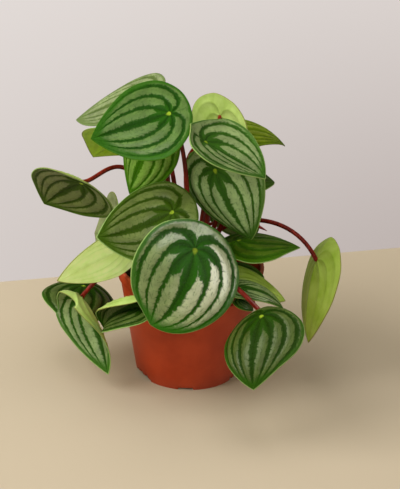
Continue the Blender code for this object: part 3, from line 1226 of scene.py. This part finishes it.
@dataclass(frozen=True)
class Leaf:
    """One leaf: lengths in millimetres, angles in degrees."""

    at: Point                   # where the stalk meets the blade
    turn: Point                 # heading of the tip, pitch down to the tip, roll
    size: Pair                  # joint to tip, full width
    seat: tuple[int, int]       # tier and slot on the crown
    via: tuple[Point, ...]      # way points of the stalk
    coat: Coat = Coat.STRIPED   # finish of the upper side
    under: Under = Under.LEMON  # finish of the lower side
    back: float = 0.32          # joint to back edge, as a share of joint to tip
    droop: float = 10           # bend of the tip end
    curl: float = 0             # extra bend near the tip
    hang: float = 10            # bend of the back end
    cup: Pair = (15, 15)        # bend of the left and right halves
    fold: float = 0             # crease along the midrib
    twist: float = 0            # turn of the tip about the midrib

    @property
    def turned(self) -> Matrix:
        """Return the blade's turn, from flat with its tip towards +X."""
        heading, pitch, roll = (math.radians(a) for a in self.turn)
        return Euler((roll, pitch, heading)).to_matrix()


LEAVES = (
    # upper crown of leaves
    Leaf((-20, -31, 233), (185, 19, -33), (63, 75), (2, 6),
         ((-4, -28, 136), (-2, -10, 194)), Coat.FRESH,
         back=0.26, droop=5, curl=-7, cup=(-3, 9), twist=-17),
    Leaf((-47, 40, 223), (156, 25, -19), (67, 71), (2, 3), ((-16, 34, 142), (-20, 52, 192)), Coat.HAZY,
         curl=-5, cup=(-5, 5)),
    Leaf((-53, 32, 192), (124, 21, 27), (60, 71), (2, 4), ((-26, 6, 134), (-54, 16, 164)), Coat.BRIGHT,
         under=Under.YELLOW, droop=30, curl=5, cup=(20, 15)),
    Leaf((-34, -11, 204), (151, 62, -80), (64, 54), (2, 5),
         ((-24, -12, 136), (-16, 12, 194)), Coat.BRIGHT,
         droop=25, curl=-5, cup=(35, 0), fold=5, twist=5),
    Leaf((7, -56, 220), (-20, 26, -6), (54, 77), (2, 7),
         ((18, -24, 142), (14, 2, 198), (10, -8, 226), (4, -36, 208)),
         back=0.33, droop=-15, curl=19, hang=-39, cup=(-4, 21), fold=-18, twist=14),
    Leaf((16, -34, 190), (-39, 65, 84), (66, 76), (2, 8), ((20, -12, 132), (30, -12, 182)), Coat.PEWTER,
         droop=35, hang=15, cup=(20, 10), fold=5, twist=5),
    Leaf((19, 9, 218), (83, 93, 52), (51, 72), (2, 0), ((42, -12, 140), (16, -22, 216)), Coat.BRIGHT,
         back=0.35, droop=-1, curl=2, hang=2, cup=(22, -6), fold=-2),
    Leaf((21, 42, 193), (8, -19, 5), (58, 69), (2, 2), ((0, 30, 132), (-26, 66, 182), (8, 58, 174)),
         Coat.YELLOWED, droop=60, curl=10, hang=15, cup=(15, 10), twist=-5),
    Leaf((16, 21, 171), (24, 5, 16), (62, 71), (2, 1), ((16, 20, 124), (12, 24, 148)), Coat.DEEP,
         droop=30, curl=5, cup=(25, 15), twist=-5),
    # front
    Leaf((-15, -43, 157), (184, 32, -29), (64, 73), (1, 6),
         ((-4, -24, 116), (-6, -32, 138)), Coat.OLIVE,
         back=0.3, droop=-27, curl=-13, hang=23, cup=(18, 7), twist=-23),
    Leaf((3, -87, 146), (260, 54, -42), (81, 96), (1, 7),
         ((10, -24, 120), (-6, -62, 130)), Coat.SILVERED,
         back=0.27, droop=73, curl=19, hang=-5, cup=(29, 5), fold=-5, twist=29),
    # left side
    Leaf((-89, -5, 163), (125, 28, -140), (63, 74), (1, 4),
         ((-28, 8, 126), (-54, 52, 202), (-72, 10, 158)), Coat.OLIVE,
         droop=-20, curl=5, hang=-30, cup=(-20, -10), fold=-5, twist=5),
    Leaf((-62, 17, 114), (103, 28, 103), (61, 65), (1, 3),
         ((-32, 8, 110), (-64, -20, 132), (-76, -2, 128)), Coat.OLIVE,
         under=Under.GREYED, droop=20, hang=15, cup=(20, 45), fold=5, twist=-5),
    Leaf((-54, -32, 119), (212, 10, 79), (62, 45), (1, 5),
         ((-16, -16, 110), (-28, -30, 114), (-40, -42, 116)), Coat.BRIGHT,
         under=Under.PALE, droop=15, curl=-5, twist=5),
    Leaf((-89, 16, 62), (269, -1, -6), (49, 69), (0, 3),
         ((-22, 22, 116), (-58, 28, 124), (-72, 46, 68), (-90, 42, 38)), Coat.MUTED,
         droop=50, curl=10, cup=(45, 20), fold=5),
    Leaf((-88, -21, 69), (-17, 50, 114), (67, 55), (0, 4), ((-28, 2, 120), (-66, -20, 102)),
         droop=-50, curl=20, hang=-80, cup=(-70, -30), fold=-20, twist=-30),
    Leaf((-36, -58, 81), (173, 11, -28), (50, 49), (0, 5),
         ((-14, -28, 100), (-10, -78, 120), (-12, -78, 76), (-30, -64, 64)), Coat.MUTED,
         droop=65, curl=15, hang=-15, cup=(10, -175), fold=-25, twist=-5),
    # right side
    Leaf((37, -18, 124), (16, -11, -11), (54, 71), (1, 8), ((16, -6, 108), (38, -18, 110)), Coat.DEEP,
         back=0.31, droop=42, cup=(-3, 23), fold=8, twist=4),
    Leaf((38, -61, 103), (10, 2, 9), (48, 26), (0, 8),
         ((16, -22, 104), (12, -38, 110), (18, -76, 114), (18, -94, 74)),
         droop=58, curl=5, hang=9, cup=(9, 13), twist=4),
    Leaf((34, -45, 100), (5, 17, -152), (46, 38), (0, 0),
         ((20, -8, 100), (30, -24, 118), (36, -44, 118)), Coat.MUTED,
         under=Under.LIME, droop=-7, curl=-7, hang=2, cup=(39, -19), fold=7, twist=-5),
    Leaf((33, -14, 101), (-23, -10, -3), (30, 25), (0, 1), ((16, 8, 96), (32, -12, 88)), Coat.DEEP,
         back=0.28, droop=38, curl=5, cup=(22, 15), twist=-7),
    Leaf((56, -93, 96), (-110, 24, 20), (60, 74), (0, 6),
         ((-4, -38, 130), (46, -100, 122), (48, -78, 94), (60, -60, 82)), Coat.MUTED,
         back=0.2, droop=50, curl=5, hang=25, cup=(20, 40), fold=5, twist=-15),
    Leaf((102, -6, 105), (56, 115, 42), (69, 74), (0, 2), ((12, 36, 128), (78, 8, 148)), Coat.DEEP,
         under=Under.LIME, droop=-20, curl=-5, hang=-35, cup=(-5, -5), fold=-10, twist=-5),
    Leaf((38, -62, 93), (20, 19, 16), (19, 21), (0, 7), ((2, -36, 122), (22, -78, 82)), Coat.FRESH,
         droop=40, curl=5, cup=(15, 5), twist=-5),
    # back
    Leaf((-34, 52, 138), (109, -20, -67), (52, 60), (1, 2), ((-4, 22, 114), (-14, 56, 128)),
         droop=45, hang=5, cup=(15, -5), fold=-5, twist=5),
    Leaf((23, 56, 155), (64, -27, 51), (52, 60), (1, 1), ((8, 20, 120), (6, 64, 138)),
         droop=50, curl=5),
    Leaf((27, 45, 121), (54, -12, 33), (52, 60), (1, 0), ((18, 12, 108), (22, 48, 106)), Coat.OLIVE,
         droop=50, cup=(15, 10)),
)


MIDPOINTS = (np.arange(8) + 0.5) / 8    # where a bend is sampled, as shares of the way


def mean_of(function: Callable[[np.ndarray], np.ndarray], amount: np.ndarray) -> np.ndarray:
    """Return the mean of a bend function between the joint and a distance."""
    return function(np.multiply.outer(amount, MIDPOINTS)).mean(axis=-1)


@dataclass
class Blade:
    """One leaf blade: a bent egg-shaped sheet, quilted between its veins."""

    leaf: Leaf
    number: int
    thickness: float = 1.0 * MM
    edge_profile: tuple[Pair, ...] = ((0.992, 0.9), (1.0, 0.55), (1.004, 0.0), (1.0, -0.55),
                                      (0.992, -0.9))    # reach, height in half thicknesses
    ring_bunching: float = 0.85     # below 1, rings lie closer together towards the edge
    outline_point: float = 0.85     # how much the outline is drawn out to the tip
    waves: tuple[Point, ...] = ((0.006, 5, 1.0), (0.004, 9, 2.3))  # height, count, phase
    quilting: float = 1.1 * MM      # rise from a vein to midway between two
    quilt_round: float = 0.7
    quilt_level: float = 0.6        # share of the rise that lies below the flat sheet
    quilt_fades: tuple[float, ...] = (0.25, 0.10, 0.3)  # widths at the joint, the edge, the tip
    spokes: int = 132
    upper_rings: int = 32
    lower_rings: int = 16

    @property
    def node(self) -> str:
        """Return the name of the blade's CAD node."""
        return f"leaf_{self.number:02d}"

    @property
    def length(self) -> float:
        """Return the length from the joint to the tip, in metres."""
        return self.leaf.size[0] * MM

    @property
    def half_width(self) -> float:
        """Return half of the full width, in metres."""
        return self.leaf.size[1] * MM / 2

    @property
    def back(self) -> float:
        """Return the length from the joint to the back edge, in metres."""
        return self.leaf.back * self.length

    def outline(self) -> tuple[np.ndarray, np.ndarray]:
        """Return the flat outline from the tip round, an egg shape drawn out to a tip.

        Returns:
            The distances ahead of the joint and to the left of the midrib.
        """
        def from_midrib(t: np.ndarray) -> np.ndarray:
            """Return the outline's distance from the midrib, not yet to scale."""
            return np.sin(t) * np.abs(np.sin(t / 2)) ** self.outline_point

        t = np.linspace(0, 2 * np.pi, self.spokes + 1)
        widest = from_midrib(np.linspace(0, np.pi, 400)).max()
        x = (self.length - self.back) / 2 + (self.length + self.back) / 2 * np.cos(t)
        return x, self.half_width * from_midrib(t) / widest

    def bent(self, x: np.ndarray, y: np.ndarray) -> np.ndarray:
        """Bend the flat blade: x runs from the joint to the tip, y to the left, z is the upper side.

        Args:
            x, y: places on the flat blade, in metres.

        Returns:
            The bent places, about the joint.
        """
        leaf = self.leaf
        droop, curl, hang = (math.radians(a) for a in (leaf.droop, leaf.curl, leaf.hang))

        def slope(s: np.ndarray) -> np.ndarray:
            """Return the midrib's slope at a distance from the joint."""
            ahead, behind = np.maximum(s / self.length, 0), np.maximum(-s / self.back, 0)
            return droop * ahead + curl * ahead ** 3 - hang * behind

        cup = np.radians(np.where(y > 0, *leaf.cup))
        side = math.radians(leaf.fold) \
            + np.multiply.outer(cup * np.abs(y) / self.half_width, MIDPOINTS)
        along = x * mean_of(lambda s: np.cos(slope(s)), x)
        height = -x * mean_of(lambda s: np.sin(slope(s)), x)
        across = y * np.cos(side).mean(axis=-1)
        rise = -np.abs(y) * np.sin(side).mean(axis=-1)
        twist = math.radians(leaf.twist) * x / self.length
        left = across * np.cos(twist) - rise * np.sin(twist)
        up = across * np.sin(twist) + rise * np.cos(twist)
        return np.stack([along + up * np.sin(slope(x)), left, height + up * np.cos(slope(x))], axis=-1)

    def rings(self) -> list[Pair]:
        """Return each ring's share of the way to the edge and its height in half thicknesses.

        Returns:
            The rings, from the joint over the upper side and the edge back to the joint.
        """
        def spaced(count: int) -> list[float]:
            """Return the reaches of one side's rings."""
            return [(i / count) ** self.ring_bunching for i in range(count)]

        upper = [(reach, 1.0) for reach in spaced(self.upper_rings)]
        lower = [(reach, -1.0) for reach in reversed(spaced(self.lower_rings))]
        return [*upper, *self.edge_profile, *lower]

    def quilt(self, angle: np.ndarray, reach: np.ndarray) -> np.ndarray:
        """Return how far the blade stands up between its veins.

        Args:
            angle: the angle at the joint from the midrib.
            reach: the share of the way to the edge.

        Returns:
            The rise, in metres.
        """
        angle, reach = np.broadcast_arrays(np.abs(angle), np.minimum(reach, 1.0))
        drawn_in = reach ** 2
        ahead, aside = 1 - drawn_in * np.cos(angle), drawn_in * np.sin(angle)
        lane = lane_of(angle, np.arctan2(aside, np.maximum(ahead, 1e-6)))
        away = 1 - np.abs(2 * (lane - np.floor(lane)) - 1)
        swell = np.sin(away * np.pi / 2) ** self.quilt_round - self.quilt_level
        for distance, fade in zip((reach, 1 - reach, np.hypot(ahead, aside)), self.quilt_fades):
            swell = swell * np.clip(distance / fade, 0, 1)
        return self.quilting * swell

    def build(self) -> bpy.types.Object:
        """Model the blade: a grid wrapped round the bent sheet, then closed at the joint.

        Returns:
            The blade, with the upper side in the first material slot.
        """
        x, y = self.outline()
        angle = np.arctan2(y, x)
        rings = self.rings()
        reach, lift = (np.array(amounts)[:, None] for amounts in zip(*rings))
        wave = sum(height * np.sin(count * angle + phase * self.number)
                   for height, count, phase in self.waves)
        flat_x, flat_y = reach * x * (1 + wave), reach * y * (1 + wave)
        height = lift * self.thickness / 2 + self.quilt(angle, reach)
        points = self.bent(flat_x, flat_y) + self.normals(flat_x, flat_y) * height[..., None]
        points = points @ np.array(self.leaf.turned).T + np.array(self.leaf.at) * MM
        disc = 0.5 + 0.5 * np.minimum(reach, 1.0)[..., None] * np.stack(
            [np.cos(angle), np.sin(angle)], axis=-1)
        return self.wrap(points, disc, sum(1 for _, height in rings if height >= 0))

    def normals(self, x: np.ndarray, y: np.ndarray) -> np.ndarray:
        """Return the upward normals of the bent sheet.

        Args:
            x, y: places on the flat blade, in metres.

        Returns:
            A normal for each place. On the midrib it is the left half's.
        """
        step = 0.2 * MM
        ahead = self.bent(x + step, y) - self.bent(x - step, y)
        side = self.bent(x, np.abs(y) + step) - self.bent(x, np.maximum(np.abs(y) - step, 0))
        left = np.where((y < 0)[..., None], self.bent(x, y + step) - self.bent(x, y - step), side)
        normal = np.cross(ahead, left)
        return normal / np.linalg.norm(normal, axis=-1, keepdims=True)

    def wrap(self, points: np.ndarray, disc: np.ndarray, upper: int) -> bpy.types.Object:
        """Place a grid's points on the blade and close it.

        Args:
            points: a place for each ring and spoke.
            disc: the UV place of each ring and spoke.
            upper: how many rings belong to the upper side.

        Returns:
            The blade, with the upper side in the first material slot.
        """
        deselect()
        bpy.ops.mesh.primitive_grid_add(x_subdivisions=self.spokes, y_subdivisions=len(points) - 1,
                                        size=2)
        blade = name_piece(f"blade_{self.number:02d}")
        mesh = blade.data
        flat = np.empty(3 * len(mesh.vertices), np.float32)
        mesh.vertices.foreach_get("co", flat)
        flat = flat.reshape(-1, 3)
        spoke = np.rint((flat[:, 0] + 1) / 2 * self.spokes).astype(int)
        ring = np.rint((flat[:, 1] + 1) / 2 * (len(points) - 1)).astype(int)
        mesh.vertices.foreach_set("co", points[ring, spoke].astype(np.float32).ravel())
        layer = mesh.uv_layers[0]
        layer.name = BLADE_MAP
        corners = np.empty(len(mesh.loops), np.int32)
        mesh.loops.foreach_get("vertex_index", corners)
        layer.data.foreach_set("uv", disc[ring, spoke][corners].astype(np.float32).ravel())
        lowest = np.array([min(ring[v] for v in face.vertices) for face in mesh.polygons])
        mesh.polygons.foreach_set("material_index", (lowest >= upper - 1).astype(np.int32))
        in_edit_mode(blade, close_shell)
        mesh.shade_smooth()
        return blade

    def dress(self, blade: bpy.types.Object, slot: str, *sides: bpy.types.Material) -> None:
        """Give the blade its upper and lower finish and hand it over."""
        hand_over(blade, self.node, slot, *sides)


@dataclass
class Stalk:
    """One stalk: a round rod from its seat on the crown to the underside of its blade."""

    leaf: Leaf
    number: int
    foot_radius: float = 2.1 * MM
    head_radius: float = 1.7 * MM
    foot_swell: float = 0.35 * MM
    head_swell: float = 0.3 * MM
    swell_fall: float = 40          # how fast the swellings end
    foot_depth: float = 1.2 * MM    # how far the foot goes on into the crown
    head_gap: float = 0.95 * MM     # from the blade's middle to the stalk's last bend
    head_depth: float = 0.55 * MM   # how far the head goes on into the blade
    steps: int = 28

    def radius(self, share: float) -> float:
        """Return the radius at a share of the way from the foot to the head."""
        taper = self.foot_radius + (self.head_radius - self.foot_radius) * share
        return taper + self.foot_swell * math.exp(-self.swell_fall * share) \
            + self.head_swell * math.exp(-self.swell_fall * (1 - share))

    def build(self, crown: Crown) -> bpy.types.Object:
        """Model the stalk, with a slight swelling at both ends.

        Args:
            crown: the crown that it leaves.

        Returns:
            The stalk.
        """
        start, outward = crown.seat(*self.leaf.seat)
        upward = self.leaf.turned @ Vector((0, 0, 1))
        end = Vector(self.leaf.at) * MM - upward * self.head_gap
        points = curve_points([start, *(Vector(p) * MM for p in self.leaf.via), end], self.steps)
        points = [start - outward * self.foot_depth, *points, end + upward * self.head_depth]
        shares = [0.0, *(i / self.steps for i in range(self.steps + 1)), 1.0]
        return round_rod(f"petiole_{self.number:02d}", points, [self.radius(s) for s in shares])

    def dress(self, stalk: bpy.types.Object, finish: bpy.types.Material) -> None:
        """Give the stalk its finish and hand it over."""
        hand_over(stalk, f"stalk_{self.number:02d}", "stalk", finish)


@dataclass
class YoungShoot:
    """A thin young stalk from the crown's top, ending in a rolled-up leaf."""

    via: tuple[Point, ...] = ((0, 0, 113.3), (0, 5, 125), (30, -2, 145), (60, -12, 131))
    foot_radius: float = 1.6 * MM
    taper: float = 0.35 * MM
    bud_swell: float = 0.8 * MM
    bud_at: float = 0.85            # share of the way to the tip
    bud_length: float = 0.08
    tip_from: float = 0.9           # where it starts to narrow to the tip
    tip_area: float = 0.02          # the tip's, as a share of the shoot's
    foot_depth: float = 1.0 * MM    # how far the foot goes on into the crown
    steps: int = 32

    def radius(self, share: float) -> float:
        """Return the shoot's radius.

        Args:
            share: the share of the way from the foot to the tip.

        Returns:
            The radius, in metres.
        """
        bud = self.bud_swell * math.exp(-((share - self.bud_at) / self.bud_length) ** 2)
        narrowed = 1 - max(share - self.tip_from, 0) / (1 - self.tip_from)
        area = max(narrowed, self.tip_area)
        return (self.foot_radius - self.taper * share + bud) * math.sqrt(area)

    def build(self) -> bpy.types.Object:
        """Model the shoot.

        Returns:
            The shoot.
        """
        points = curve_points([Vector(p) * MM for p in self.via], self.steps)
        points = [points[0] - Vector((0, 0, self.foot_depth)), *points]
        radii = [self.radius(i / (self.steps + 1)) for i in range(self.steps + 2)]
        return round_rod("furled_shoot", points, radii)

    def dress(self, shoot: bpy.types.Object, finish: bpy.types.Material) -> None:
        """Give the shoot its finish and hand it over."""
        hand_over(shoot, "young_shoot", "young_shoot", finish)


@dataclass
class Foliage:
    """Every leaf with its stalk, and the young shoot."""

    crown: Crown

    def build(self) -> None:
        """Model and dress the blades, the stalks and the shoot."""
        uppers = {coat: coat.value.material() for coat in Coat}
        lowers = {under: under.value.material() for under in Under}
        red = StalkFinish().material()
        slots = {part["node"]: part["material_slot"] for part in frame["record"]["subparts"]}
        for number, leaf in enumerate(LEAVES, start=1):
            blade = Blade(leaf, number)
            blade.dress(blade.build(), slots[blade.node], uppers[leaf.coat], lowers[leaf.under])
            stalk = Stalk(leaf, number)
            stalk.dress(stalk.build(self.crown), red)
        shoot = YoungShoot()
        shoot.dress(shoot.build(), red)


# ------------------------------------------------------------------------------------------ studio


@dataclass(frozen=True)
class SoftLight:
    """A square soft light that faces the plant: place and width in metres, power in watts."""

    name: str
    place: Point
    width: float
    power: float
    in_gloss: bool = True   # whether gloss mirrors it
    in_matt: bool = True    # whether it lights the rest, and can be seen itself
    tint: Point = (1.0, 0.985, 0.96)

    def hang(self, aim: Point) -> None:
        """Hang the light, turned to the aim.

        Args:
            aim: the point that it faces, in metres.
        """
        deselect()
        bpy.ops.object.light_add(type="AREA", location=self.place)
        light = bpy.context.object
        light.name = self.name
        light.data.shape = "SQUARE"
        light.data.size = self.width
        light.data.energy = self.power
        light.data.color = self.tint
        light.rotation_euler = (Vector(aim) - Vector(self.place)).to_track_quat("-Z", "Y").to_euler()
        light.visible_glossy = self.in_gloss
        light.visible_diffuse = self.in_matt
        light.visible_camera = self.in_matt


@dataclass
class Studio:
    """A plain pale table, soft lights and the camera."""

    elevation: float = math.radians(24)
    tilt: float = math.radians(2.4)
    distance: float = 1.2
    lens: float = 108.8
    sensor: float = 36.0
    aim: Point = (0.0068, 0.0, 0.1115)
    table: StudioFinish = StudioFinish("pale_table", colour(195, 181, 158))
    table_back: float = 0.20
    table_turn: float = math.radians(17)
    table_size: float = 4.0
    air_light: float = 0.29
    air_colour: Colour = colour(240, 228, 204)
    wall_bright: Colour = colour(232, 225, 221)
    wall_dim: Colour = colour(184, 173, 169)
    wall_across: Pair = (-0.16, 0.16)   # what the camera sees of the air, as parts of a direction
    wall_down: Pair = (-0.20, -0.41)
    lights: tuple[SoftLight, ...] = (
        SoftLight("key", (-1.7, -0.6, 1.6), 1.7, 51),
        SoftLight("front", (-0.1, -2.0, 1.5), 1.5, 11),
        SoftLight("top", (0.0, 0.1, 2.2), 1.6, 18, in_gloss=False),
        SoftLight("gleam", (1.5, -0.6, 0.28), 1.1, 34, in_matt=False))

    def build(self) -> None:
        """Set the table, the air, the lights and the camera."""
        self.set_table()
        self.set_air()
        for light in self.lights:
            light.hang(self.aim)
        self.set_camera()

    def set_table(self) -> None:
        """Lay a pale table top that ends just behind the plant, turned about the end's middle."""
        deselect()
        bpy.ops.mesh.primitive_plane_add(size=self.table_size)
        table = name_piece("table_top")
        turn = Matrix.Translation((0, self.table_back, 0)) @ Matrix.Rotation(self.table_turn, 4, "Z")
        table.data.transform(turn @ Matrix.Translation((0, -self.table_size / 2, 0)))
        table.data.materials.append(self.table.material())

    def set_air(self) -> None:
        """Fill the room with soft light, shown as a pale wall with painted shade down to the right."""
        air = Air("studio")
        across, _, up = air.axes(air.node("ShaderNodeTexCoord", {}, {}).outputs["Generated"])
        left, right = self.wall_across
        top, bottom = self.wall_down
        rightness = ((across - left) / (right - left)).smooth(-0.2, 1.2)
        depth = ((top - up) / (top - bottom)).smooth(-0.3, 1.3)
        # painted shade: the wall is drawn dimmer towards the bottom right, where less light falls on it
        wall = air.mix(0.15 * rightness + depth * (0.45 + 0.45 * rightness), self.wall_bright,
                       self.wall_dim)
        seen = air.node("ShaderNodeBackground", {}, {"Color": wall, "Strength": 1.0})
        light = air.node("ShaderNodeBackground", {},
                         {"Color": self.air_colour, "Strength": self.air_light})
        straight = air.node("ShaderNodeLightPath", {}, {}).outputs["Is Camera Ray"]
        both = air.node("ShaderNodeMixShader", {},
                        {0: straight, 1: light.outputs[0], 2: seen.outputs[0]})
        air.feed(air.tree.nodes["World Output"].inputs["Surface"], both.outputs[0])

    def set_camera(self) -> None:
        """Place the camera before the plant, looking down at it, tilted a little."""
        deselect()
        toward = Vector((0, -math.cos(self.elevation), math.sin(self.elevation)))
        level_up = Vector((0, math.sin(self.elevation), math.cos(self.elevation)))
        side = Vector((1, 0, 0))
        right = math.cos(self.tilt) * side + math.sin(self.tilt) * level_up
        upward = math.cos(self.tilt) * level_up - math.sin(self.tilt) * side
        place = Vector(self.aim) + self.distance * toward
        bpy.ops.object.camera_add(location=place)
        camera = bpy.context.object
        camera.name = "camera"
        turn = Matrix((right, upward, toward)).transposed().to_4x4()
        camera.matrix_world = Matrix.Translation(place) @ turn
        camera.data.lens = self.lens
        camera.data.sensor_width = self.sensor
        bpy.context.scene.camera = camera


def main() -> None:
    """Build the pot, the soil, the crown, the foliage and the studio."""
    logging.basicConfig(level=logging.INFO, format="%(name)s %(message)s")
    bpy.context.scene.view_settings.view_transform = "Standard"
    Studio().build()
    pot = Pot()
    pot.dress(pot.build())
    soil = Soil()
    soil.dress(soil.build(pot))
    crown = Crown()
    crown.dress(crown.build())
    Foliage(crown).build()


if __name__ == "__main__":
    main()
